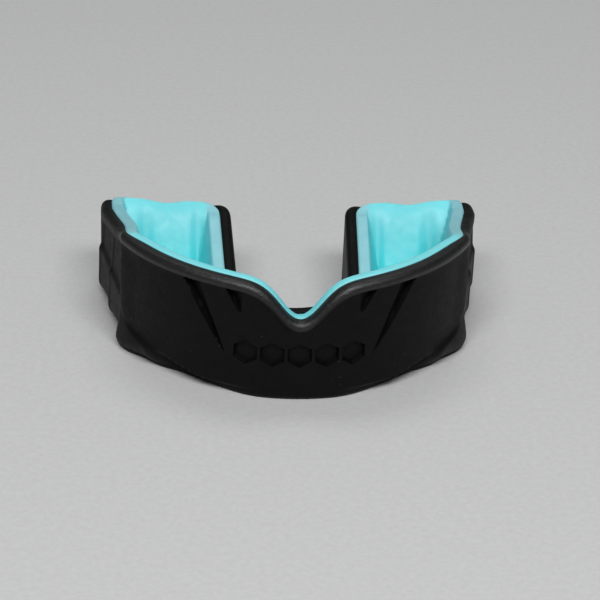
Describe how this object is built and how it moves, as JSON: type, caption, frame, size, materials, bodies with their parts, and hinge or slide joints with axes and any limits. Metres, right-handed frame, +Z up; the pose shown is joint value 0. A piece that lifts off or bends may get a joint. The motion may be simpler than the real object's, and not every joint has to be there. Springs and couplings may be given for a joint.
{
  "type": "mouthguard",
  "caption": "Horseshoe boil-and-bite mouthguard: firm black rubber frame with a lip-tie notch and rolled rim, lined with soft turquoise gel that holds the upper teeth.",
  "frame": {"origin": "middle of the footprint, on the flat biting face", "axes": "+X across the mouth, -Y towards the lips (front of the arch), +Z up into the tooth trough"},
  "size_m": [0.0672, 0.0454, 0.0222],
  "materials": {
    "black_rubber": "satin",
    "turquoise_gel": "soft satin, slightly translucent"
  },
  "bodies": {
    "root": {"outer_frame": "black_rubber", "gel_liner": "turquoise_gel"}
  },
  "joints": []
}
